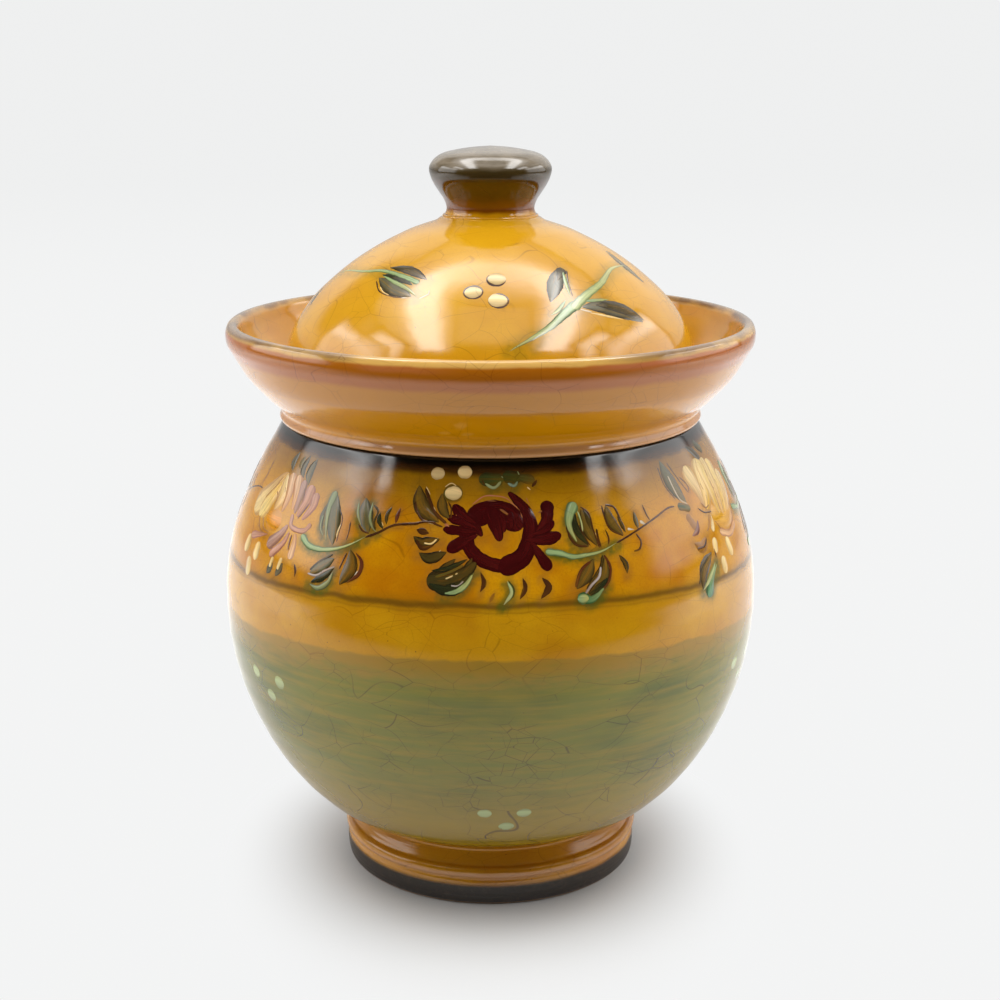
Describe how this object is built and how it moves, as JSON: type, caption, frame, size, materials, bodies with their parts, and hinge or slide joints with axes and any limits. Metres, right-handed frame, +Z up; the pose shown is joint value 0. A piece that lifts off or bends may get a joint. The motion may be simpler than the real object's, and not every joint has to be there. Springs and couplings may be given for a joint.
{
  "type": "confit jar",
  "caption": "Round-bellied glazed stoneware jar on a foot ring, with a flared neck and a domed, knobbed lid that lifts off.",
  "frame": {"origin": "on the table, under the middle of the foot ring", "axes": "+Z up along the axis the jar was turned about, -Y towards the pictured front"},
  "size_m": [0.1576, 0.1576, 0.2138],
  "materials": {
    "amber_glaze": "glossy honey glaze, finely crazed",
    "foot_brown": "dark brown slip, wiped at the sole",
    "knob_brown": "glossy dark glaze with grey oxide on top",
    "bare_clay": "unglazed, matt"
  },
  "bodies": {
    "jar": {"jar_bowl": "amber_glaze", "foot_ring": "foot_brown", "neck_collar": "amber_glaze"},
    "lid": {"lid_dome": "amber_glaze", "lid_locating_ring": "bare_clay", "lid_knob": "knob_brown"}
  },
  "joints": [
    {"name": "lid_lift", "type": "slide", "parent": "jar", "child": "lid", "axis": [0, 0, 1], "range_m": [0, 0.1]}
  ]
}
